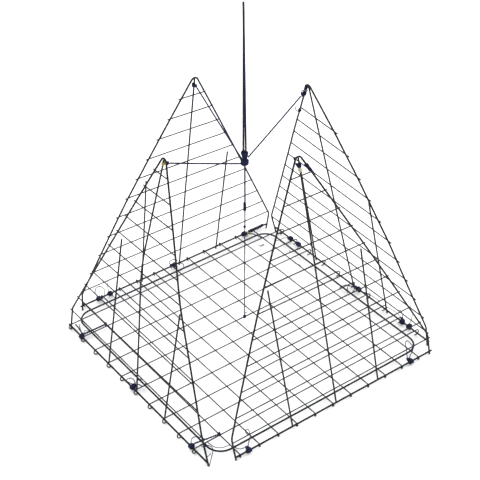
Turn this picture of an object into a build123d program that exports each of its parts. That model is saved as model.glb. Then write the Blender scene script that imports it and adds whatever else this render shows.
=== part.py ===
from build123d import *
import math
import os

# Folding pyramid crab trap. Millimetres, +Z up, origin on the ground under the middle of the floor grid.
# The front panel faces -Y, the right panel +X, the back panel +Y and the left panel -X.

# Wire and cord gauges
rim_radius = 1.5
upright_radius = 1.35
mesh_radius = 1.0
weld_gap = 0.02
end_gap = 0.15
turning_gap = 0.35
bridle_radius = 1.25
strand_radius = 1.65
centre_line_radius = 1.1
twine_radius = 0.75

# Hinge lines: height above the ground and distance from the centre
hinge_height = 8.0
hinge_reach = 223.6

# Side panels. Along is measured on the hinge line, anticlockwise seen from above, and up on the panel's face.
# A panel leans in, twists evenly over each 200 of its width, and has slid along its hinge line.
leg_bend = 18.0
face_bend = 250.0
apex_bend = 6.0
rung_count = 11
rung_overhang = 0.8
lean = {"front": 14.5, "right": 12.0, "back": 10.0, "left": 11.1}
twist = {"front": -1.8, "right": -1.8, "back": -2.0, "left": 1.0}
slide = {"front": 12.1, "right": 5.5, "back": -17.2, "left": 6.8}

# Corners of each rim's two sides: foot, leg top, and the bends from there up; and its sharp apex
rim_sides = {
    "front": (
        [(-195.1, -6.5), (-195.1, 29.6), (-111.8, 200.0)],
        [(197.9, -7.0), (197.9, 29.6), (111.7, 200.0)],
    ),
    "right": (
        [(-209.5, -7.0), (-214.0, 42.0), (-152.0, 193.0), (-96.0, 296.0), (-46.0, 372.0)],
        [(196.0, -7.0), (201.0, 30.0), (128.0, 184.0), (68.0, 307.0)],
    ),
    "back": (
        [(-197.8, -7.0), (-197.8, 31.7), (-113.2, 200.0)],
        [(199.6, -7.0), (199.6, 31.7), (116.4, 200.0)],
    ),
    "left": (
        [(-200.0, -7.0), (-200.0, 33.0), (-111.8, 200.0)],
        [(200.0, -7.0), (172.0, 33.0), (80.9, 200.0)],
    ),
}
apexes = {"front": (0.1, 418.0), "right": (1.8, 432.5), "back": (-2.0, 421.0), "left": (0.3, 415.0)}

# First rung and rung pitch, where the side wires stand and end, and where the centre wire stands and bows to
rungs = {"front": (24.5, 35.8), "right": (24.5, 33.7), "back": (34.8, 34.3), "left": (30.8, 35.06)}
side_wires = {
    "front": [(-87.0, -87.0, 231.0), (86.0, 86.0, 231.0)],
    "right": [(-112.0, -114.2, 256.5), (77.0, 73.0, 231.0)],
    "back": [(-81.5, -81.5, 231.0), (78.2, 78.2, 231.0)],
    "left": [(-79.8, -79.8, 231.0), (82.4, 82.4, 190.0)],
}
centre_wires = {
    "front": [(-0.3, -1.5)],
    "right": [(-27.0, -1.5)],
    "back": [(-1.0, -1.5)],
    "left": [(3.5, -1.5), (-23.0, 213.0)],
}

# Where each bridle's knot is bound: down from the rim's underside at the apex, and to the side of the apex
hitches = {"front": (11.5, 0.0), "right": (22.0, 15.6), "back": (11.5, 0.0), "left": (4.5, 4.0)}

# Floor grid: rim, eleven long wires along Y under ten cross wires along X
floor_half = 205.0
floor_corner = 26.0
hook_turn = 215.0
long_wires = [2.5 + 35.9 * (k - 5) for k in range(11)]
cross_wires = [6.0 + 40.3 * (k - 4.5) for k in range(10)]

# Lashings: middle of each one along its hinge line, and the drift of the two with a strand into the floor
lash_length = 10.0
lash_radius = 3.5
lashings = {
    "front": (-160.0, 167.0),
    "right": (-158.0, -142.0, -31.0, 136.0, 159.0),
    "back": (-164.0, -9.7, 125.0, 148.0),
    "left": (-154.0, 2.5, 165.0),
}
strand_drift = {("left", 1): 0.0, ("left", 3): 6.5}

# Knots and cords over the middle
gather_point = (3.0, -2.0)
gather_knot_foot = 336.0
gather_knot_length = 11.0
gather_knot_radius = 6.6
collar_length = 13.5
collar_foot_radius = 3.8
collar_top_radius = 6.4
bridle_rise = {"right": 10.0, "back": 5.5, "left": 5.5}
line_top = 604.0
strand_spread = 1.9
bight_radius = 9.6
bight_length = 24.0
shoulder_bend = 200.0
hitch_radius = 2.9
floor_tie = (18.7, 26.15)
tie_length = 6.0
tie_radius = 2.4
binding_share = 0.255
binding_length = 17.0
binding_radius = 2.2
small_knot_share = 0.385
small_knot_length = 5.0
small_knot_radius = 1.9
bight_direction = Vector(0.5874, 0.8093, 0)
spread_direction = Vector(0.8093, -0.5874, 0)

panel_axes = {
    "front": (Vector(1, 0, 0), Vector(0, -1, 0)),
    "right": (Vector(0, 1, 0), Vector(1, 0, 0)),
    "back": (Vector(-1, 0, 0), Vector(0, 1, 0)),
    "left": (Vector(0, -1, 0), Vector(-1, 0, 0)),
}

# Layers of the floor grid, counted up from the hinge lines
long_hook = rim_radius + mesh_radius + turning_gap
cross_hook = long_hook + 2 * mesh_radius + weld_gap
floor_rim_rise = long_hook - rim_radius - mesh_radius - weld_gap

# Layers of a panel, counted inward from the hinge wire's middle
upright_depth = rim_radius + upright_radius + weld_gap
rung_depth = upright_depth - upright_radius - mesh_radius - weld_gap
rim_depth = 2 * rim_radius + weld_gap


def rod(start, end, radius):
    """A straight round wire from one point to another."""
    along = end - start
    return Solid.make_cylinder(radius, along.length, Plane(origin=start, z_dir=along))


def wire_along(path, radius):
    """A round wire swept along a path."""
    section = Plane(origin=path @ 0, z_dir=path % 0) * Circle(radius)
    return sweep(section, path=path)


def on_panel(side, along, up, inward=0.0):
    """A point of a leaning panel: along its hinge line, up its face, and in behind its hinge wire."""
    edge, outward = panel_axes[side]
    tilt = math.radians(lean[side] + twist[side] * along / 200)
    face = Vector(0, 0, 1) * math.cos(tilt) - outward * math.sin(tilt)
    depth = outward * -math.cos(tilt) - Vector(0, 0, 1) * math.sin(tilt)
    foot = outward * hinge_reach + Vector(0, 0, hinge_height)
    return foot + edge * (along + slide[side]) + face * up + depth * inward


def on_hinge(side, along, inward=0.0, up=0.0):
    """A point near a hinge line, measured in the directions of the floor."""
    edge, outward = panel_axes[side]
    return edge * along + outward * (hinge_reach - inward) + Vector(0, 0, hinge_height + up)


def along_at(corners, up):
    """Where a wire through these corners of a panel crosses a height up its face."""
    for (u0, v0), (u1, v1) in zip(corners, corners[1:]):
        if up <= v1:
            break
    return u0 + (u1 - u0) * (up - v0) / (v1 - v0)


def rung_heights(side):
    first, pitch = rungs[side]
    return [first + k * pitch for k in range(rung_count)]


def save(node, shape):
    export_step(shape, "parts/" + node + ".step")


def group(shapes):
    return Compound(children=list(shapes))


def on_every_rung(side, corners, start):
    """The points where a wire through these corners crosses the rungs above a start."""
    heights = [up for up in rung_heights(side) if start + leg_bend < up < corners[-1][1]]
    return [(along_at(corners, up), up) for up in heights]


def panel_rim(side):
    left, right = [
        corners[:2] + on_every_rung(side, [*corners, apexes[side]], corners[1][1])
        for corners in rim_sides[side]
    ]
    rising, falling = [[leg_bend] + [face_bend] * (len(corners) - 2) for corners in (left, right)]
    points = [on_panel(side, u, v, rim_depth) for u, v in [*left, apexes[side], *right[::-1]]]
    return wire_along(FilletPolyline(*points, radius=[*rising, apex_bend, *falling[::-1]]), rim_radius)


def panel_hinge_wire(side):
    overhang = rim_radius + rung_overhang
    left, right = rim_sides[side]
    return rod(on_panel(side, left[0][0] - overhang, 0), on_panel(side, right[0][0] + overhang, 0), rim_radius)


def panel_rungs(side):
    left, right = [[*corners, apexes[side]] for corners in rim_sides[side]]
    overhang = rim_radius + rung_overhang
    rods = []
    for up in rung_heights(side):
        start = on_panel(side, along_at(left, up) - overhang, up, rung_depth)
        rods.append(rod(start, on_panel(side, along_at(right, up) + overhang, up, rung_depth), mesh_radius))
    return group(rods)


def panel_side_wire(side, foot_along, top_along, top):
    foot = on_panel(side, foot_along, -rim_radius, upright_depth)
    return rod(foot, on_panel(side, top_along, top, upright_depth), upright_radius)


def apex_inside(side):
    """The underside of the rim's bend at the apex."""
    corner = Vector(*apexes[side])
    left, right = [(Vector(*corners[-1]) - corner).normalized() for corners in rim_sides[side]]
    half_angle = math.radians(left.get_angle(right)) / 2
    down = (left + right).normalized()
    return corner + down * (apex_bend * (1 / math.sin(half_angle) - 1) + rim_radius)


def panel_centre_wire(side):
    top = apex_inside(side)
    corners = [*centre_wires[side], (top.X, top.Y - weld_gap)]
    crossings = on_every_rung(side, corners, corners[0][1]) if side in ("left", "right") else []
    flat = [corners[0], *crossings, corners[-1]]
    points = [on_panel(side, u, v, upright_depth) for u, v in flat]
    if not crossings:
        return rod(*points, upright_radius)
    return wire_along(FilletPolyline(*points, radius=face_bend), upright_radius)


def hitch_middle(side):
    down, across = hitches[side]
    inside = apex_inside(side)
    depth = rim_depth + rim_radius + hitch_radius + weld_gap
    return on_panel(side, inside.X + across, inside.Y - down, depth)


def apex_hitch(side):
    """The bridle's knot, bound on the inside of the panel close under the apex."""
    return Pos(hitch_middle(side)) * Sphere(hitch_radius)


def floor_rim():
    loop = RectangleRounded(2 * floor_half, 2 * floor_half, floor_corner).wire()
    path = Pos(0, 0, hinge_height + floor_rim_rise) * loop
    return wire_along(path, rim_radius)


def floor_wire(direction, across, hook):
    """A straight floor wire whose two ends hook round the hinge wires on either side."""
    up = Vector(0, 0, 1)
    middle = across + up * hinge_height
    turn = math.radians(hook_turn)
    arcs = []
    for sign in (-1, 1):
        centre = middle + direction * (sign * hinge_reach)
        knee = centre + direction * (sign * hook * math.sin(turn / 2)) + up * (hook * math.cos(turn / 2))
        tip = centre + direction * (sign * hook * math.sin(turn)) + up * (hook * math.cos(turn))
        top = centre + up * hook
        arcs.append((tip, knee, top))
    near, far = arcs
    path = Wire([
        Edge.make_three_point_arc(*near),
        Edge.make_line(near[2], far[2]),
        Edge.make_three_point_arc(*far[::-1]),
    ])
    return wire_along(path, mesh_radius)


def floor_long_wires():
    return group(floor_wire(Vector(0, 1, 0), Vector(x, 0, 0), long_hook) for x in long_wires)


def floor_cross_wires():
    return group(floor_wire(Vector(1, 0, 0), Vector(0, y, 0), cross_hook) for y in cross_wires)


def lashing(side, along):
    """Twine bound round a hinge wire, loose enough for the wire to turn in it."""
    ends = [on_hinge(side, along + shift) for shift in (-lash_length / 2, lash_length / 2)]
    bore = rim_radius + turning_gap
    return rod(ends[0], ends[1], lash_radius) - rod(ends[0], ends[1], bore)


def lashing_strand(side, along, drift):
    """The twine's strand from a left lashing over the floor rim to a ring round the first long wire."""
    edge = panel_axes[side][0]
    reach = hinge_reach + long_wires[0]
    wire_middle = on_hinge(side, along + drift, reach, long_hook)
    ring_radius = mesh_radius + twine_radius + weld_gap
    ring = Solid.make_torus(ring_radius, twine_radius, Plane(origin=wire_middle, z_dir=edge))
    start = on_hinge(side, along, lash_radius, long_hook)
    end = on_hinge(side, along + drift, reach - ring_radius, long_hook)
    return rod(start, end, twine_radius) + ring


def gather_middle(height):
    return Vector(*gather_point, height)


def gather_knot():
    """The lower knot, round which the bridles are drawn together."""
    top = gather_knot_foot + gather_knot_length
    return rod(gather_middle(gather_knot_foot), gather_middle(top), gather_knot_radius)


def collar_knot():
    """The upper knot, flared where the two strands of the hauling line come out of it."""
    foot = Plane(gather_middle(gather_knot_foot + gather_knot_length))
    return Solid.make_cone(collar_foot_radius, collar_top_radius, collar_length, foot)


def bridle_cord(side):
    """The taut cord from the knots to a panel's apex hitch."""
    knot = gather_middle(gather_knot_foot + bridle_rise[side])
    apex = hitch_middle(side)
    level = Vector(apex.X - knot.X, apex.Y - knot.Y, 0).normalized()
    start = knot + level * (gather_knot_radius + bridle_radius / 2)
    along = (apex - start).normalized()
    return rod(start, apex - along * (hitch_radius + turning_gap), bridle_radius)


def hauling_line():
    """The doubled line: up from the collar, over its bight, and down again beside itself."""
    foot = gather_middle(gather_knot_foot + gather_knot_length + collar_length + end_gap)
    crown = gather_middle(line_top - strand_radius)
    shoulder = crown - Vector(0, 0, bight_length)
    spread = spread_direction * strand_spread
    bight = bight_direction * bight_radius
    rising = [foot - spread, shoulder - bight, crown - bight]
    falling = [crown + bight, shoulder + bight, foot + spread]
    bends = [shoulder_bend, 0.98 * bight_radius, 0.98 * bight_radius, shoulder_bend]
    print("hauling line bends", bends)
    return wire_along(FilletPolyline(*rising, *falling, radius=bends), strand_radius)


def centre_line_point(share):
    """A point of the centre line, as a share of its way from the gather knot down to the floor tie."""
    top = gather_middle(gather_knot_foot - end_gap)
    foot = Vector(*floor_tie, hinge_height + cross_hook + tie_radius + weld_gap + centre_line_radius / 4)
    return top + (foot - top) * share


def centre_line():
    """The taut cord that lifts the middle of the floor."""
    return rod(centre_line_point(0), centre_line_point(1), centre_line_radius)


def sleeve(middle, along, length, radius, bore):
    """Turns of twine bound round a cord or wire."""
    reach = along.normalized() * (length / 2)
    start = middle - reach
    end = middle + reach
    return rod(start, end, radius) - rod(start, end, bore)


def centre_line_sleeve(share, length, radius):
    along = centre_line_point(1) - centre_line_point(0)
    return sleeve(centre_line_point(share), along, length, radius, centre_line_radius + weld_gap)


def floor_tie_knot():
    """The knot that ties the centre line to a cross wire."""
    middle = Vector(*floor_tie, hinge_height + cross_hook)
    return sleeve(middle, Vector(1, 0, 0), tie_length, tie_radius, mesh_radius + weld_gap)


def build():
    os.makedirs("parts", exist_ok=True)
    save("floor_rim", floor_rim())
    save("floor_cross_wires", floor_cross_wires())
    save("floor_long_wires", floor_long_wires())
    for side in panel_axes:
        save(side + "_panel_rim", panel_rim(side))
        save(side + "_hinge_wire", panel_hinge_wire(side))
        save(side + "_rungs", panel_rungs(side))
        save(side + "_centre_wire", panel_centre_wire(side))
        save(side + "_side_wires", group(panel_side_wire(side, *ends) for ends in side_wires[side]))
        save(side + "_apex_hitch", apex_hitch(side))
        if side in bridle_rise:
            save(side + "_bridle_cord", bridle_cord(side))
        for number, along in enumerate(lashings[side], 1):
            save(side + "_lashing_" + str(number), lashing(side, along))
    for (side, number), drift in strand_drift.items():
        strand = lashing_strand(side, lashings[side][number - 1], drift)
        save(side + "_lashing_strand_" + str(number), strand)
    save("gather_knot", gather_knot())
    save("collar_knot", collar_knot())
    save("hauling_line", hauling_line())
    save("centre_line", centre_line())
    save("centre_line_binding", centre_line_sleeve(binding_share, binding_length, binding_radius))
    save("centre_line_knot", centre_line_sleeve(small_knot_share, small_knot_length, small_knot_radius))
    save("floor_tie", floor_tie_knot())


build()
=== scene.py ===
import math
import random

import bpy
from mathutils import Matrix, Vector


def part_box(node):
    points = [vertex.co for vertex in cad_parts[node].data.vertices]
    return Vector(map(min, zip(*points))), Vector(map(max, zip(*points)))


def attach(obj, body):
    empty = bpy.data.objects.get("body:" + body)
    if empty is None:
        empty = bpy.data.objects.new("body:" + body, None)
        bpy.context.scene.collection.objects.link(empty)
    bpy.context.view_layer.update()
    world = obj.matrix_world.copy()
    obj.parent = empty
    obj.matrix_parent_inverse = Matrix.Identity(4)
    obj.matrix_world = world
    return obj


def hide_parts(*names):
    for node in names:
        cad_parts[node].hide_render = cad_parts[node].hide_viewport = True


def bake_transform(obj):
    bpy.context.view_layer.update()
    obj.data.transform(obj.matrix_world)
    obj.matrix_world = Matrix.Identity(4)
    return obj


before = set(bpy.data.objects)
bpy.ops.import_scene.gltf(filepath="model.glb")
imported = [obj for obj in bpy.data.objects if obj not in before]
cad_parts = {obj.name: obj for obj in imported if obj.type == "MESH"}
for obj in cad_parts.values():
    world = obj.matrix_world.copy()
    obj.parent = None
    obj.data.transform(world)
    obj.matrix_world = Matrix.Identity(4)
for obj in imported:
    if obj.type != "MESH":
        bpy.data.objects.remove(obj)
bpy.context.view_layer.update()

# Everything below is in millimetres and is turned into metres as each mesh or cord is made.
MM = 0.001
UP = Vector((0, 0, 1))
SIDES = ("front", "right", "back", "left")

# Dimensions repeated from the CAD model
hinge_height = 8.0
hinge_reach = 223.6
rim_radius = 1.5
upright_radius = 1.35
mesh_radius = 1.0
weld_gap = 0.02
turning_gap = 0.35
rim_depth = 2 * rim_radius + weld_gap
upright_depth = rim_radius + upright_radius + weld_gap
long_hook = rim_radius + mesh_radius + turning_gap
cross_hook = long_hook + 2 * mesh_radius + weld_gap
hitch_radius = 2.9
lean = {"front": 14.5, "right": 12.0, "back": 10.0, "left": 11.1}
twist = {"front": -1.8, "right": -1.8, "back": -2.0, "left": 1.0}
slide = {"front": 12.1, "right": 5.5, "back": -17.2, "left": 6.8}
panel_axes = {
    "front": (Vector((1, 0, 0)), Vector((0, -1, 0))),
    "right": (Vector((0, 1, 0)), Vector((1, 0, 0))),
    "back": (Vector((-1, 0, 0)), Vector((0, 1, 0))),
    "left": (Vector((0, -1, 0)), Vector((-1, 0, 0))),
}
lashings = {
    "front": (-160.0, 167.0),
    "right": (-158.0, -142.0, -31.0, 136.0, 159.0),
    "back": (-164.0, -9.7, 125.0, 148.0),
    "left": (-154.0, 2.5, 165.0),
}
gather_point = (3.0, -2.0)
gather_foot = 336.0
gather_knot_radius = 6.6
collar_foot = 347.0
collar_top = 360.5
line_top = 604.0
strand_spread = 1.9
bight_radius = 9.6
bight_length = 24.0
bight_direction = Vector((0.5874, 0.8093, 0))
spread_direction = Vector((0.8093, -0.5874, 0))
bridle_rise = {"right": 10.0, "back": 5.5, "left": 5.5}
floor_tie = (18.7, 26.15)
tie_radius = 2.4
binding_share = 0.255
small_knot_share = 0.385
long_wire_pitch = 35.9
long_wire_shift = 2.5


# Places

def on_panel(side, along, up, inward=0.0):
    """A point of a leaning panel, as the CAD model has it."""
    edge, outward = panel_axes[side]
    tilt = math.radians(lean[side] + twist[side] * along / 200)
    face = UP * math.cos(tilt) - outward * math.sin(tilt)
    depth = outward * -math.cos(tilt) - UP * math.sin(tilt)
    foot = outward * hinge_reach + UP * hinge_height
    return foot + edge * (along + slide[side]) + face * up + depth * inward


def on_hinge(side, along, inward=0.0, up=0.0):
    """A point near a hinge line, measured in the directions of the floor."""
    edge, outward = panel_axes[side]
    return edge * along + outward * (hinge_reach - inward) + UP * (hinge_height + up)


def box_middle(node):
    """The middle of a CAD node's box."""
    low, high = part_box(node)
    return (Vector(low) + Vector(high)) / 2 / MM


# Lines

def nurbs_line(points):
    """The smooth line of a route: a NURBS spline of order 3 with the points as its controls."""
    curve = bpy.data.curves.new("route", "CURVE")
    curve.dimensions = "3D"
    curve.resolution_u = 12
    spline = curve.splines.new("NURBS")
    spline.points.add(len(points) - 1)
    for target, point in zip(spline.points, points):
        target.co = (*(Vector(point) * MM), 1)
    spline.order_u = 3
    spline.use_endpoint_u = True
    holder = bpy.data.objects.new("route", curve)
    mesh = bpy.data.meshes.new_from_object(holder)
    line = [v.co / MM for v in mesh.vertices]
    bpy.data.objects.remove(holder)
    bpy.data.curves.remove(curve)
    bpy.data.meshes.remove(mesh)
    return line


def evenly(line, step):
    """The same line with its points a step apart."""
    lengths = [(b - a).length for a, b in zip(line, line[1:])]
    total = sum(lengths)
    count = max(2, round(total / step))
    spaced = [line[0].copy()]
    part = 0
    passed = 0.0
    for k in range(1, count):
        want = total * k / count
        while passed + lengths[part] < want:
            passed += lengths[part]
            part += 1
        share = (want - passed) / lengths[part]
        spaced.append(line[part].lerp(line[part + 1], share))
    spaced.append(line[-1].copy())
    return spaced


def helix(middle, axis, radius, length, turns, start=0.0, flare=0.0, wobble=0.0, seed=1):
    """A winding round an axis. flare is what its radius gains from start to end."""
    axis = axis.normalized()
    side = axis.orthogonal().normalized()
    other = axis.cross(side)
    luck = random.Random(seed)
    sway = [luck.uniform(-1, 1) for _ in range(int(abs(turns)) + 3)]
    points = []
    count = max(8, int(abs(turns) * 20))
    for k in range(count + 1):
        share = k / count
        angle = math.tau * (turns * share + start)
        turn = abs(turns) * share
        loose = sway[int(turn)] * (1 - turn % 1) + sway[int(turn) + 1] * (turn % 1)
        reach = radius + flare * share + wobble * loose
        shift = length * (share - 0.5) + wobble * loose
        points.append(middle + axis * shift + (side * math.cos(angle) + other * math.sin(angle)) * reach)
    return points


def overhand(middle, size, across, along):
    """An overhand knot drawn tight: a small trefoil in the plane of two directions, its ends left apart."""
    across = across.normalized()
    along = (along - across * along.dot(across)).normalized()
    normal = across.cross(along)
    points = []
    count = 40
    left_open = 3
    for k in range(count - left_open):
        a = math.tau * k / count
        x = (math.sin(a) + 2 * math.sin(2 * a)) / 3
        y = (math.cos(a) - 2 * math.cos(2 * a)) / 3
        z = -math.sin(3 * a) / 2
        points.append(middle + (across * x + along * y + normal * z) * size)
    return points


# Rope and twine

class Ropework:
    """Lengths of laid rope and twine gathered in one mesh."""

    def __init__(self):
        self.vertices = []
        self.faces = []
        self.lay = []

    def laid(self, line, radius, pitch, strands=3, sides=18, step=None, radii=None, spaced=False):
        """A rope of twisted strands along a line, rounded off at its ends. A spaced line keeps its points."""
        if not spaced:
            line = evenly(line, step or pitch / 9)
        count = len(line)
        first = len(self.vertices)
        heading = (line[1] - line[0]).normalized()
        normal = heading.orthogonal().normalized()
        passed = 0.0
        rings = []
        for k, point in enumerate(line):
            ahead = line[min(k + 1, count - 1)] - line[max(k - 1, 0)]
            turned = ahead.normalized()
            normal = (normal - turned * normal.dot(turned)).normalized()
            if k:
                passed += (point - line[k - 1]).length
            rings.append((point, turned, normal.copy(), passed))
        total = passed
        for point, turned, normal, passed in rings:
            other = turned.cross(normal)
            share = passed / total
            wide = radii(share) if radii else radius
            close = min(passed, total - passed) / wide
            wide *= math.sqrt(max(0.12, 1 - (1 - min(close, 1)) ** 2))
            for j in range(sides):
                angle = math.tau * j / sides
                bulge = abs(math.cos(strands * angle / 2))
                reach = wide * (0.74 + 0.26 * bulge ** 0.8)
                spin = angle + math.tau * passed / pitch
                offset = (normal * math.cos(spin) + other * math.sin(spin)) * reach
                self.vertices.append((point + offset) * MM)
        for k in range(count - 1):
            for j in range(sides):
                a = first + k * sides + j
                b = first + k * sides + (j + 1) % sides
                self.faces.append((a, b, b + sides, a + sides))
                low = rings[k][3] / pitch
                high = rings[k + 1][3] / pitch
                left = j / sides
                right = (j + 1) / sides
                self.lay += [(left, low), (right, low), (right, high), (left, high)]
        around = range(sides)
        for ring, order in ((0, around[::-1]), (count - 1, around)):
            self.faces.append(tuple(first + ring * sides + j for j in order))
            self.lay += [(j / sides, rings[ring][3] / pitch) for j in order]
        return self

    def twine(self, line, radius=0.75, pitch=3.4, sides=10):
        """Thin two-strand twine."""
        return self.laid(line, radius, pitch, strands=2, sides=sides, step=0.55)

    def frayed(self, tip, direction, seed):
        """Loose yarns at a cut end."""
        hairs = 3
        length = 1.8
        luck = random.Random(seed)
        direction = direction.normalized()
        for _ in range(hairs):
            away = Vector([luck.uniform(-1, 1) for _ in range(3)])
            out = (direction * 1.6 + away).normalized() * length * luck.uniform(0.6, 1.2)
            bent = tip + out * 0.5 + Vector([luck.uniform(-0.3, 0.3) for _ in range(3)])
            self.laid([tip - direction, tip, bent, tip + out], 0.16, 2.0, sides=6, step=0.6)
        return self

    def piece(self, name, material, body, node=None, slot="cord"):
        """One named object of all that was laid, riding on a body unless the body is None."""
        mesh = bpy.data.meshes.new(name)
        mesh.from_pydata(self.vertices, [], self.faces)
        uv = mesh.uv_layers.new(name="lay")
        uv.data.foreach_set("uv", [number for pair in self.lay for number in pair])
        mesh.polygons.foreach_set("use_smooth", [True] * len(mesh.polygons))
        mesh.materials.append(material)
        made = bpy.data.objects.new(name, mesh)
        bpy.context.scene.collection.objects.link(made)
        if body:
            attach(made, body)
        if node:
            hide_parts(node)
        return made


# Materials

def material(name):
    made = bpy.data.materials.new(name)
    made.use_nodes = True
    tree = made.node_tree
    shader = tree.nodes["Principled BSDF"]
    return made, tree, shader


def add_node(tree, kind, **values):
    """A shader node with its settings, or its inputs, given by name."""
    made = tree.nodes.new(kind)
    for key, value in values.items():
        if hasattr(made, key):
            setattr(made, key, value)
        else:
            made.inputs[key.replace("_", " ")].default_value = value
    return made


def ramp(tree, source, stops):
    """A colour ramp with the stops given as places and colours."""
    made = tree.nodes.new("ShaderNodeValToRGB")
    for element, (place, colour) in zip(made.color_ramp.elements, (stops[0], stops[-1])):
        element.position = place
        element.color = (*colour, 1)
    for place, colour in stops[1:-1]:
        extra = made.color_ramp.elements.new(place)
        extra.color = (*colour, 1)
    tree.links.new(source, made.inputs["Fac"])
    return made.outputs["Color"]


def coated_wire_material(name, tone):
    """A dipped plastic coat on steel wire: near black, slightly uneven, rubbed and dusty in places."""
    made, tree, shader = material(name)
    place = tree.nodes.new("ShaderNodeTexCoord").outputs["Object"]
    mottle = add_node(tree, "ShaderNodeTexNoise", Scale=55.0, Detail=5.0, Roughness=0.62)
    grain = add_node(tree, "ShaderNodeTexNoise", Scale=900.0, Detail=3.0, Roughness=0.6)
    scuff = add_node(tree, "ShaderNodeTexNoise", Scale=260.0, Detail=4.0, Roughness=0.7)
    for texture in (mottle, grain, scuff):
        tree.links.new(place, texture.inputs["Vector"])
    dark = [c * tone for c in (0.0042, 0.0052, 0.0088)]
    mid = [c * tone for c in (0.0078, 0.0092, 0.0140)]
    dusty = [c * tone for c in (0.020, 0.023, 0.030)]
    coat = ramp(tree, mottle.outputs["Fac"], [(0.36, dark), (0.56, mid), (0.78, dusty)])
    rubbed = ramp(tree, scuff.outputs["Fac"], [(0.66, (0, 0, 0)), (0.80, (1, 1, 1))])
    worn = tree.nodes.new("ShaderNodeMix")
    worn.data_type = "RGBA"
    tree.links.new(rubbed, worn.inputs["Factor"])
    tree.links.new(coat, worn.inputs["A"])
    worn.inputs["B"].default_value = (0.030, 0.033, 0.040, 1)
    tree.links.new(worn.outputs["Result"], shader.inputs["Base Color"])
    gloss = ramp(tree, mottle.outputs["Fac"], [(0.3, (0.40, 0.40, 0.40)), (0.75, (0.62, 0.62, 0.62))])
    tree.links.new(gloss, shader.inputs["Roughness"])
    shader.inputs["Specular IOR Level"].default_value = 0.22
    bump = add_node(tree, "ShaderNodeBump", Strength=0.25, Distance=0.00012)
    tree.links.new(grain.outputs["Fac"], bump.inputs["Height"])
    tree.links.new(bump.outputs["Normal"], shader.inputs["Normal"])
    return made


def rope_material(name, dark, light, yarns):
    """Twisted nylon: fine yarns running across the lay, darker between the strands as painted shade, slightly
    sheened.
    """
    made, tree, shader = material(name)
    coordinates = tree.nodes.new("ShaderNodeTexCoord")
    split = tree.nodes.new("ShaderNodeSeparateXYZ")
    tree.links.new(coordinates.outputs["UV"], split.inputs["Vector"])

    def maths(kind, a, b=0.0):
        step = tree.nodes.new("ShaderNodeMath")
        step.operation = kind
        for socket, value in zip(step.inputs, (a, b)):
            if hasattr(value, "is_output"):
                tree.links.new(value, socket)
            else:
                socket.default_value = value
        return step.outputs["Value"]

    around = maths("MULTIPLY", split.outputs["X"], float(yarns))
    onward = maths("MULTIPLY", split.outputs["Y"], yarns * 1.7)
    slant = maths("ADD", around, onward)
    yarn_relief_and_shade = maths("ABSOLUTE", maths("SINE", maths("MULTIPLY", slant, math.pi)))
    noise = add_node(tree, "ShaderNodeTexNoise", Scale=420.0, Detail=5.0, Roughness=0.65)
    tree.links.new(coordinates.outputs["Object"], noise.inputs["Vector"])
    fade = add_node(tree, "ShaderNodeTexNoise", Scale=60.0, Detail=3.0, Roughness=0.5)
    tree.links.new(coordinates.outputs["Object"], fade.inputs["Vector"])
    # Colour: the yarn stripes darken it in the grooves between yarns, which is painted shade; the two noises
    # add random tone and fading
    mixed = maths("ADD", maths("MULTIPLY", yarn_relief_and_shade, 0.45), maths("MULTIPLY", noise.outputs["Fac"], 0.55))
    fade_and_groove_shade = maths("ADD", mixed, maths("MULTIPLY", maths("SUBTRACT", fade.outputs["Fac"], 0.5), 0.55))
    middling = [(a + b) / 2 for a, b in zip(dark, light)]
    colour = ramp(tree, fade_and_groove_shade, [(0.18, dark), (0.55, middling), (0.95, light)])
    tree.links.new(colour, shader.inputs["Base Color"])
    gloss = ramp(tree, noise.outputs["Fac"], [(0.3, (0.62, 0.62, 0.62)), (0.8, (0.86, 0.86, 0.86))])
    tree.links.new(gloss, shader.inputs["Roughness"])
    shader.inputs["Specular IOR Level"].default_value = 0.25
    shader.inputs["Sheen Weight"].default_value = 0.06
    shader.inputs["Sheen Roughness"].default_value = 0.5
    shader.inputs["Sheen Tint"].default_value = (0.25, 0.32, 0.62, 1)
    height = maths("ADD", yarn_relief_and_shade, maths("MULTIPLY", noise.outputs["Fac"], 0.6))
    bump = add_node(tree, "ShaderNodeBump", Strength=0.5, Distance=0.00018)
    tree.links.new(height, bump.inputs["Height"])
    tree.links.new(bump.outputs["Normal"], shader.inputs["Normal"])
    return made


rim_coat = coated_wire_material("rim_wire_coat", 0.85)
mesh_coat = coated_wire_material("mesh_wire_coat", 1.15)
floor_coat = coated_wire_material("floor_wire_coat", 1.0)
cord_stuff = rope_material("navy_cord", (0.0010, 0.0022, 0.0150), (0.0060, 0.0120, 0.0560), 5)
twine_stuff = rope_material("navy_twine", (0.0010, 0.0020, 0.0130), (0.0070, 0.0125, 0.0560), 4)
yellow_stuff = rope_material("yellow_twine", (0.10, 0.075, 0.012), (0.62, 0.52, 0.17), 4)
cream_stuff = rope_material("cream_twine", (0.30, 0.27, 0.15), (0.74, 0.70, 0.50), 4)
grey_stuff = rope_material("grey_blue_twine", (0.030, 0.036, 0.052), (0.15, 0.17, 0.22), 4)

for name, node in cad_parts.items():
    if name.startswith("floor"):
        kind = floor_coat
    elif name.endswith("_rungs"):
        kind = mesh_coat
    else:
        kind = rim_coat
    node.data.materials.clear()
    node.data.materials.append(kind)


# Cords

def gather_middle(height):
    return Vector((*gather_point, height))


foot = gather_middle(collar_top + 0.15)
crown = gather_middle(line_top - 1.65)
shoulder = crown - UP * bight_length
spread = spread_direction * strand_spread
bight = bight_direction * bight_radius
drift = spread_direction * 1.4
route = [foot - spread, shoulder - bight + drift, crown - bight + drift]
route += [crown + bight + drift, shoulder + bight + drift, foot + spread]
line = evenly(nurbs_line(route), 1.1)
rope = Ropework().laid(line, 1.72, 9.5, spaced=True)
hauling = rope.piece("hauling_rope", cord_stuff, "base", "hauling_line")

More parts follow.
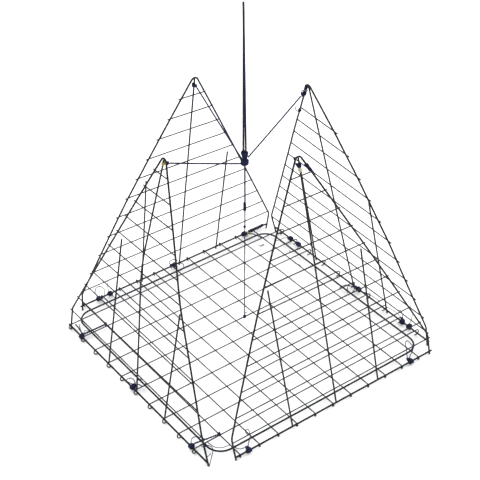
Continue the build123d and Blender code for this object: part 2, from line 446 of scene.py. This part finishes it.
for side in bridle_rise:
    node = side + "_bridle_cord"
    knot = gather_middle(gather_foot + bridle_rise[side])
    apex = box_middle(side + "_apex_hitch")
    level = Vector((apex.x - knot.x, apex.y - knot.y, 0)).normalized()
    start = knot + level * (gather_knot_radius + 0.6)
    way = (apex - start).normalized()
    end = apex - way * (hitch_radius + turning_gap)
    line = evenly(nurbs_line([start, start.lerp(end, 0.5) - UP * 0.8, end]), 1.15)
    rope = Ropework().laid(line, 1.36, 7.5, sides=15, spaced=True)
    bridle = rope.piece(side + "_bridle_rope", cord_stuff, None, node)
    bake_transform(bridle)

tie_middle = Vector((*floor_tie, hinge_height + cross_hook))
line_start = gather_middle(gather_foot - 0.15)
line_end = tie_middle + UP * (tie_radius + weld_gap + 0.275)
way = line_end - line_start
sway = line_start + way * 0.25 + Vector((0.4, -0.3, 0))
line = evenly(nurbs_line([line_start, sway, line_start + way * 0.62, line_end]), 0.9)


def centre_rope_radius(share):
    """The centre rope thins below its binding and again below its small knot."""
    if share < binding_share:
        return 1.42
    return 1.15 if share < small_knot_share else 1.0


rope = Ropework().laid(line, 1.1, 6.0, sides=15, spaced=True, radii=centre_rope_radius)
centre_rope = rope.piece("centre_rope", cord_stuff, "base", "centre_line")


# Knots over the middle

def turned(points, middle, direction, angle):
    """Points swung round an axis through a middle."""
    swing = Matrix.Rotation(angle, 4, direction)
    return [middle + swing @ (p - middle) for p in points]


knot = Ropework()
middle = gather_middle(gather_foot + 5.5)
knot.laid(helix(middle, UP, 5.0, 6.6, 3.1, start=0.1, wobble=0.25, seed=4), 1.7, 8.0)
knot.laid(helix(middle, UP, 2.2, 8.6, 2.6, start=0.6, seed=5), 1.9, 8.0)
for angle, start in ((0.9, 0.0), (2.3, 0.3), (4.0, 0.55)):
    axis = bight_direction.lerp(spread_direction, 0.3 + angle / 8)
    loop = helix(middle, axis, 4.3, 2.0, 1.05, start=start, seed=int(10 * angle))
    knot.laid(turned(loop, middle, UP, angle), 1.45, 7.0)
knot.piece("gather_knot_wraps", cord_stuff, "base", "gather_knot")

collar = Ropework()
middle = gather_middle((collar_foot + collar_top) / 2)
height = collar_top - collar_foot
for offset in (-1, 1):
    core = [gather_middle(collar_foot - 1.5) + spread_direction * offset * 0.9,
            middle + spread_direction * offset * 1.5,
            gather_middle(collar_top + 0.4) + spread_direction * offset * 2.0]
    collar.laid(nurbs_line(core), 1.75, 9.5)
    core = [gather_middle(collar_foot - 1.0) + bight_direction * offset * 1.2,
            middle + bight_direction * offset * 2.2,
            gather_middle(collar_top - 1.0) + bight_direction * offset * 3.4]
    collar.laid(nurbs_line(core), 1.5, 7.0)
lower_wrap = helix(middle - UP * 0.3, UP, 2.7, height - 2.6, 5.2, flare=2.3, wobble=0.22, seed=8)
upper_wrap = helix(middle + UP * 3.2, UP, 4.6, 4.5, 2.1, start=0.4, flare=0.7, wobble=0.3, seed=9)
slanting_wrap = turned(helix(middle + UP * 1.0, UP, 4.3, 2.0, 1.1, seed=3), middle, bight_direction, 0.6)
collar.laid(lower_wrap, 1.15, 5.0, sides=12)
collar.laid(upper_wrap, 1.05, 5.0, sides=12)
collar.laid(slanting_wrap, 1.0, 5.0, sides=12)
collar.piece("collar_wraps", cord_stuff, "base", "collar_knot")

binding = Ropework()
middle = line_start + way * binding_share
binding.laid(helix(middle, way, 1.75, 15.5, 9.5, wobble=0.08, seed=2), 0.72, 3.2, strands=2, sides=10)
knot_middle = middle + way.normalized() * 6.5 + spread_direction * 0.8
binding.laid(overhand(knot_middle, 1.7, spread_direction, UP), 0.75, 3.2, strands=2, sides=10)
binding.piece("centre_rope_binding", twine_stuff, "base", "centre_line_binding", slot="twine")
small = Ropework()
middle = line_start + way * small_knot_share
small.laid(helix(middle, way, 1.35, 3.4, 2.6, wobble=0.1, seed=6), 0.8, 3.2, strands=2, sides=10)
small.laid(overhand(middle, 1.9, spread_direction, UP), 0.7, 3.2, strands=2, sides=10)
small.piece("centre_rope_knot", twine_stuff, "base", "centre_line_knot", slot="twine")

tie = Ropework()
along_wire = Vector((1, 0, 0))
tie.laid(helix(tie_middle, along_wire, mesh_radius + 0.85, 4.6, 3.2, wobble=0.1, seed=7), 0.85, 4.0, sides=12)
tie.laid(overhand(tie_middle + UP * 2.6, 1.9, along_wire, Vector((0, 1, 0.3))), 0.8, 4.0, sides=12)
tail = [(1.0, 0.5, 3.2), (3.0, 3.0, 4.2), (6.0, 5.0, 3.2), (9.0, 5.5, 1.8)]
tie.twine(nurbs_line([tie_middle + Vector(p) for p in tail]), 0.7)
tie.piece("floor_tie_wraps", cord_stuff, "base", "floor_tie")


# Apex hitches: a knot and turns of cord inside the apex, on the front and back also round the centre wire

def panel_frame(side, along):
    """Directions along a panel's width, up its face and inward, at a place across it."""
    edge = panel_axes[side][0]
    low = on_panel(side, along, 100)
    face = (on_panel(side, along, 200) - low).normalized()
    inward = (on_panel(side, along, 100, 10) - low).normalized()
    return edge, face, inward


def on_face(side, points):
    """Points given along, up and inward of a panel."""
    return [on_panel(side, *p) for p in points]


apexes = {"front": (0.1, 418.0), "right": (1.8, 432.5), "back": (-2.0, 421.0), "left": (0.3, 415.0)}
for side in SIDES:
    hitch = Ropework()
    ball = box_middle(side + "_apex_hitch")
    along, top = apexes[side]
    edge, face, inward = panel_frame(side, along)
    hitch.laid(overhand(ball - inward * 0.3, 2.5, edge, face), 1.05, 5.0, sides=12)
    hitch.laid(helix(ball - inward * 0.6, face, 1.9, 2.2, 1.6, seed=len(side)), 1.0, 5.0, sides=12)
    if side in ("front", "back"):
        wire = on_panel(side, along * 0.5, top - 20.5, upright_depth)
        turns = helix(wire, face, upright_radius + 0.95, 5.2, 3.2, start=0.2, wobble=0.12, seed=len(side))
        hitch.laid(turns, 0.95, 4.5, sides=12)
    hitch.piece(side + "_apex_wraps", cord_stuff, side + "_panel", side + "_apex_hitch")

# Right: twine wound at the apex and down the rim's +Y side to the knot
wind = Ropework()
rim_apex = on_panel("right", *apexes["right"], rim_depth)
down_rim = (on_panel("right", 68, 307, rim_depth) - rim_apex).normalized()
rim_top = rim_apex + down_rim * 12
wind.twine(helix(rim_top + down_rim * 2, down_rim, rim_radius + 0.8, 8.5, 5.2, wobble=0.15, seed=12), 0.75)
wind.twine(helix(rim_top + down_rim * 15, down_rim, rim_radius + 0.85, 17.0, 3.6, wobble=0.2, seed=13), 0.7)
knot_turns = helix(rim_top + down_rim * 20.5, down_rim, rim_radius + 1.0, 5.5, 3.0, wobble=0.15, seed=14)
wind.laid(knot_turns, 0.95, 4.5, sides=12)
loop = [(18, 401, 1.5), (23, 405, 0.5), (27, 402, 2.5), (24, 396, 5.5), (18, 396, 6)]
wind.twine(nurbs_line(on_face("right", loop)), 0.7)
wind.piece("right_apex_winding", twine_stuff, "right_panel", slot="twine")
grey = Ropework()
route = [(2, 417, 5.2), (4, 420, 6.0), (8, 416, 5.8), (8, 410, 5.0)]
grey.twine(nurbs_line(on_face("right", route)), 0.65)
grey.piece("right_apex_grey_strand", grey_stuff, "right_panel", slot="twine")
spur = Ropework()
route = [(41, 357, 4.6), (44, 354, 6.0), (48, 356, 6.5), (51, 360, 5.0)]
spur.twine(nurbs_line(on_face("right", route)), 0.7)
spur_wire = on_panel("right", 41.6, 357, rim_depth)
spur.twine(helix(spur_wire, down_rim, rim_radius + 0.75, 3.4, 2.4, seed=15), 0.7)
spur.piece("right_rim_spur", twine_stuff, "right_panel", slot="twine")

# Left: a bit of yellow twine inside the apex
bits = Ropework()
left_wire = on_panel("left", -1.0, 398.0, upright_depth)
edge, face, inward = panel_frame("left", 0)
bits.twine(helix(left_wire, face, upright_radius + 0.75, 5.0, 3.1, wobble=0.15, seed=16), 0.72)
route = [(-1, 401, 5.4), (-4, 403, 6.0), (-7, 399, 5.4), (-6, 393, 5.2)]
bits.twine(nurbs_line(on_face("left", route)), 0.65)
bits.piece("left_apex_yellow_twine", yellow_stuff, "left_panel", slot="twine")

# Front: cream twine, a grey-blue strand up to a navy knot, and navy twine down the rim
bits = Ropework()
front_wire = on_panel("front", 0, 391.0, upright_depth)
edge, face, inward = panel_frame("front", 0)
bits.twine(helix(front_wire, face, upright_radius + 0.8, 8.0, 4.2, wobble=0.15, seed=17), 0.8)
bits.piece("front_apex_cream_twine", cream_stuff, "front_panel", slot="twine")
bits = Ropework()
route = [(-1.5, 394, 5.2), (-3.5, 398, 5.8), (-4.5, 403, 5.4), (-4.2, 407, 5.0)]
bits.twine(nurbs_line(on_face("front", route)), 0.62)
bits.piece("front_apex_grey_strand", grey_stuff, "front_panel", slot="twine")
bits = Ropework()
rim_top = on_panel("front", 6, 406.4, rim_depth)
down_rim = (on_panel("front", 30, 359.6, rim_depth) - rim_top).normalized()
bits.twine(helix(rim_top + down_rim * 19, down_rim, rim_radius + 0.8, 15.0, 6.0, wobble=0.2, seed=18), 0.75)
bits.twine(overhand(on_panel("front", -4.0, 409.0, 5.6), 2.2, edge, face), 0.9)
bits.piece("front_apex_navy_twine", twine_stuff, "front_panel", slot="twine")


# Lashings: turns of twine round the hinge wire, a knot beside it, and what hangs from it

# Each tail's route, as points along, inward and up from its lashing, and the twine's radius
tails = {
    ("left", 1): [
        ([(0, 1, 4), (-2, 1, 9), (-5, 1, 14), (-4, 0, 20), (-3, 0, 24)], 0.7),
        ([(-3, 3, 3), (-12, 4, 4.5), (-22, 5.5, 4.5), (-31, 6, 3.5)], 1.25),
        ([(0, 5, 5), (-7, 9, 5), (-3, 13, 4), (2, 17, 5)], 0.5),
    ],
    ("left", 2): [
        ([(-1, 3, 5), (-8, -4, 8), (-14, -3, 9), (-14, 6, 8), (-7, 9, 6), (0, 5, 5)], 0.8),
        ([(1, 3, 5), (5, 9, 7), (11, 9, 7), (16, 13, 7), (13, 18, 8), (4, 18, 10), (-3, 15, 9),
          (-2, 8, 6)], 0.8),
        ([(5, 1, 2), (9, 0, 3), (14, -1, 1.5)], 1.3),
    ],
    ("left", 3): [
        ([(0, 0, 4), (-2, 1, 12), (0, 4, 17), (4, 9, 19), (8, 15, 15), (10, 22, 9)], 0.75),
        ([(10, 11, 6), (16, 8, 6), (19, 15, 7), (12, 18, 7), (11, 12, 7)], 0.8),
        ([(12, 12, 6), (20, 18, 8), (28, 20, 8), (35, 15, 7), (41, 8, 6), (47, 2, 5), (52, -4, 3)], 0.7),
        ([(12, 20, 8), (22, 21, 8), (30, 23, 8), (36, 29, 8), (38, 36, 8), (38, 44, 7)], 0.7),
        ([(37, 3, 6), (38, 8, 9), (35, 11, 7)], 0.6),
    ],
    ("front", 1): [
        ([(0, 2, 5), (1, 2, 14), (4, 2, 22), (3, 1, 34), (0, 0, 44), (-6, 0, 46), (-5, 0, 38),
          (-1, 0, 33)], 0.7),
        ([(-4, 4, 5), (-9, 5, 5), (-14, 8, 5), (-17, 16, 5)], 0.7),
    ],
    ("front", 2): [
        ([(-4, 3, 5), (-8, 2, 14), (-10, 1, 26), (-14, 0, 38), (-17, 0, 49), (-12, 0, 51), (-5, 0, 41),
          (2, 0, 31), (3, 1, 20), (0, 3, 10), (-1, 3, 5)], 0.75),
    ],
    ("right", 1): [
        ([(1, -1, 4), (-1, -2, 12), (-3, -2, 20), (-4, -1, 28)], 0.7),
        ([(-3, -2, 3), (-3, -5, -1), (1, -8, -4)], 0.7),
    ],
    ("right", 2): [
        ([(3, -2, 4), (2, -2, 12), (6, -2, 18), (12, -2, 18), (15, -2, 15)], 0.7),
        ([(5, -3, 2), (14, -6, 2.5), (30, -7, 2), (46, -5, 1)], 0.6),
    ],
    ("right", 3): [
        ([(6, 4, 4), (9, 9, 6), (12, 14, 8), (9, 19, 8), (3, 24, 8), (-2, 28, 7)], 0.75),
        ([(6, 5, 4), (14, 12, 7), (18, 19, 8), (17, 30, 7.5)], 0.75),
        ([(3, 4, 4), (0, 9, 7), (-4, 15, 8), (-5, 19, 7.5)], 0.7),
        ([(-12, 1, 3), (-24, -1, 4), (-36, -3, 4), (-48, -5, 2)], 0.7),
    ],
    ("right", 4): [
        ([(-4, 4, 4), (-11, 9, 7), (-18, 17, 9), (-20, 28, 8), (-16, 33, 7), (-12, 31, 7)], 0.7),
    ],
    ("right", 5): [
        ([(0, 5, 4), (3, 14, 7), (0, 22, 8), (2, 31, 7.5)], 0.6),
        ([(-72, 47, 7), (-76, 46, 8.5), (-82, 42, 7)], 0.6),
    ],
    ("back", 1): [
        ([(-3, 8, 4), (-7, 16, 7), (-10, 26, 7.5), (-13, 39, 7)], 1.05),
        ([(8, 53, 7), (4, 57, 8), (-2, 60, 8), (-3, 55, 8), (6, 59, 7)], 0.7),
    ],
    ("back", 2): [
        ([(4, 1, 4), (11, 0, 6), (12, 1, 13), (4, 1, 14), (-4, 0, 11), (-7, 0, 6)], 0.75),
        ([(-4, 4, 4), (-8, 10, 7), (-8, 18, 8), (-3, 26, 8), (5, 30, 8), (12, 26, 8), (9, 15, 7)], 0.75),
    ],
    ("back", 3): [
        ([(2, 5, 3), (3, 13, 6), (4, 21, 6)], 0.7),
        ([(3, 1, 4), (4, 0, 12), (3, 0, 22), (2, 0, 30)], 0.6),
    ],
    ("back", 4): [
        ([(2, 1, 4), (6, 0, 12), (6, 0, 21), (2, 0, 26), (-5, 0, 25), (-11, 0, 17), (-14, 0, 10),
          (-11, 1, 4)], 0.75),
    ],
}
# Each lashing's knot, along, inward and up from its middle
knot_place = {
    ("left", 1): (-1, 2.5, 2.5),
    ("left", 2): (0, 4.0, 3.0),
    ("left", 3): (2, 1.5, 3.0),
    ("front", 1): (0, 4.0, 3.0),
    ("front", 2): (-2.5, 4.0, 3.0),
    ("right", 1): (-0.5, -2.5, 2.5),
    ("right", 2): (3.5, -3.0, 2.5),
    ("right", 3): (5.0, 1.5, 2.5),
    ("right", 4): (-1.5, 3.0, 2.5),
    ("right", 5): (1.0, 4.0, 2.5),
    ("back", 1): (-3, 7.0, 3.0),
    ("back", 2): (1.5, 2.0, 2.5),
    ("back", 3): (1.5, 3.5, 2.0),
    ("back", 4): (-1.0, 4.0, 2.0),
}
thickest_frayed = 1.2

for side in SIDES:
    edge, outward = panel_axes[side]
    for number, along in enumerate(lashings[side], 1):
        seed = 20 * number + len(side)
        luck = random.Random(seed)
        middle = on_hinge(side, along)
        bore = rim_radius + turning_gap
        lash = Ropework()
        lash.twine(helix(middle, edge, bore + 0.8, 8.4, 5.3, start=luck.random(), wobble=0.1, seed=seed), 0.8)
        outer = middle + UP * 0.4 - outward * 0.3
        outer_turns = helix(outer, edge, bore + 2.1, 6.0, 3.4, start=luck.random(), wobble=0.25, seed=seed + 1)
        lash.twine(outer_turns, 0.8)
        shift, inward, up = knot_place[(side, number)]
        centre = on_hinge(side, along + shift, inward, up)
        lash.twine(overhand(centre, 2.9, edge, UP - outward * luck.uniform(0.2, 0.8)), 0.95)
        reach = centre - middle
        normal = edge.lerp(UP, luck.uniform(0.2, 0.5))
        between = middle + reach * 0.55
        lash.twine(helix(between, normal, 3.6, 2.4, 1.6, start=luck.random(), wobble=0.3, seed=seed + 2), 0.8)
        for points, radius in tails[(side, number)]:
            path = nurbs_line([on_hinge(side, along + shift, inward, up) for shift, inward, up in points])
            lash.twine(path, radius)
            if radius < thickest_frayed:
                lash.frayed(path[-1], path[-1] - path[-3], seed)
        node = f"{side}_lashing_{number}"
        lash.piece(node + "_twine", twine_stuff, "base", node, slot="twine")

# The two strands from the left lashings in to the first long wire, each two twines twisted together
long_reach = hinge_reach + long_wire_shift - long_wire_pitch * 5
for number, drift_along, thickness in ((1, 0.0, 0.95), (3, 6.5, 0.8)):
    edge, outward = panel_axes["left"]
    along = lashings["left"][number - 1]
    start = on_hinge("left", along, 3.5, long_hook + 0.4)
    end = on_hinge("left", along + drift_along, long_reach - 1.8, long_hook + 0.2)
    way = end - start
    strand = Ropework()
    for phase in (0.0, 0.5):
        turns = way.length / 7.5
        middle = start + way / 2
        strand.twine(helix(middle, way, thickness * 0.95, way.length, turns, start=phase, seed=1), thickness)
    wire = on_hinge("left", along + drift_along, long_reach, long_hook)
    strand.twine(helix(wire, edge, mesh_radius + 0.85, 4.6, 3.2, wobble=0.15, seed=number), 0.8)
    strand.twine(overhand(wire + UP * 2.4, 1.9, edge, outward), 0.75)
    node = f"left_lashing_strand_{number}"
    strand.piece(node + "_twine", twine_stuff, "base", node, slot="twine")

# The back lashing: a winding along the hinge wire, and a stripe of amber twine
edge, outward = panel_axes["back"]
along = lashings["back"][0]
wind = Ropework()
radius = rim_radius + turning_gap + 0.8
wind.twine(helix(on_hinge("back", along - 26), edge, radius, 30.0, 8.5, wobble=0.12, seed=31), 0.85)
wind.twine(overhand(on_hinge("back", along - 42, 1, 2.5), 2.4, edge, UP), 0.9)
wind.piece("back_hinge_winding", twine_stuff, "base", slot="twine")
amber = Ropework()
middle = on_hinge("back", along - 2, 6.0, 2.5)
amber.twine(helix(middle, edge + UP * 0.4, 4.3, 2.6, 1.9, start=0.3, wobble=0.2, seed=33), 0.85)
amber.piece("back_lashing_amber_twine", yellow_stuff, "base", slot="twine")


# Floor, light and camera

floor_mesh = bpy.data.meshes.new("floor")
floor_mesh.from_pydata([(-7, -7, 0), (7, -7, 0), (7, 7, 0), (-7, 7, 0)], [], [(0, 1, 2, 3)])
floor = bpy.data.objects.new("floor", floor_mesh)
bpy.context.scene.collection.objects.link(floor)
paper, tree, shader = material("pale_paper")
fibre = add_node(tree, "ShaderNodeTexNoise", Scale=30.0, Detail=3.0)
tree.links.new(tree.nodes.new("ShaderNodeTexCoord").outputs["Object"], fibre.inputs["Vector"])
tone = ramp(tree, fibre.outputs["Fac"], [(0.3, (0.90, 0.90, 0.90)), (0.7, (0.93, 0.93, 0.93))])
tree.links.new(tone, shader.inputs["Base Color"])
shader.inputs["Roughness"].default_value = 0.95
shader.inputs["Specular IOR Level"].default_value = 0.0
floor_mesh.materials.append(paper)

world = bpy.data.worlds.new("studio")
bpy.context.scene.world = world
world.use_nodes = True
world.node_tree.nodes["Background"].inputs["Color"].default_value = (1, 1, 1, 1)
world.node_tree.nodes["Background"].inputs["Strength"].default_value = 0.55

# Each light's name, place and size in metres, and power in watts
for name, place, size, power in (
    ("overhead", (0.0, 0.0, 3.0), 5.0, 150.0),
    ("key", (-2.2, -1.6, 2.4), 2.4, 34.0),
    ("fill", (2.4, -1.2, 2.0), 2.4, 18.0),
):
    lamp = bpy.data.lights.new(name, "AREA")
    lamp.shape = "DISK"
    lamp.size = size
    lamp.energy = power
    holder = bpy.data.objects.new(name, lamp)
    holder.location = place
    aim = Vector((0, 0, 0.2)) - Vector(place)
    holder.rotation_euler = aim.to_track_quat("-Z", "Y").to_euler()
    bpy.context.scene.collection.objects.link(holder)

camera = bpy.data.cameras.new("camera")
camera.lens = 94.61
camera.sensor_width = 36
ahead = Vector((0.47507, 0.65455, -0.58811))
over = Vector((0.35987, 0.46538, 0.80865))
stand = Matrix((ahead.cross(over), over, -ahead)).transposed().to_4x4()
stand.translation = Vector((-0.95079, -1.30040, 1.35935 + hinge_height * MM))
viewer = bpy.data.objects.new("camera", camera)
bpy.context.scene.collection.objects.link(viewer)
viewer.matrix_world = stand
bpy.context.scene.camera = viewer
bpy.context.scene.view_settings.view_transform = "Standard"
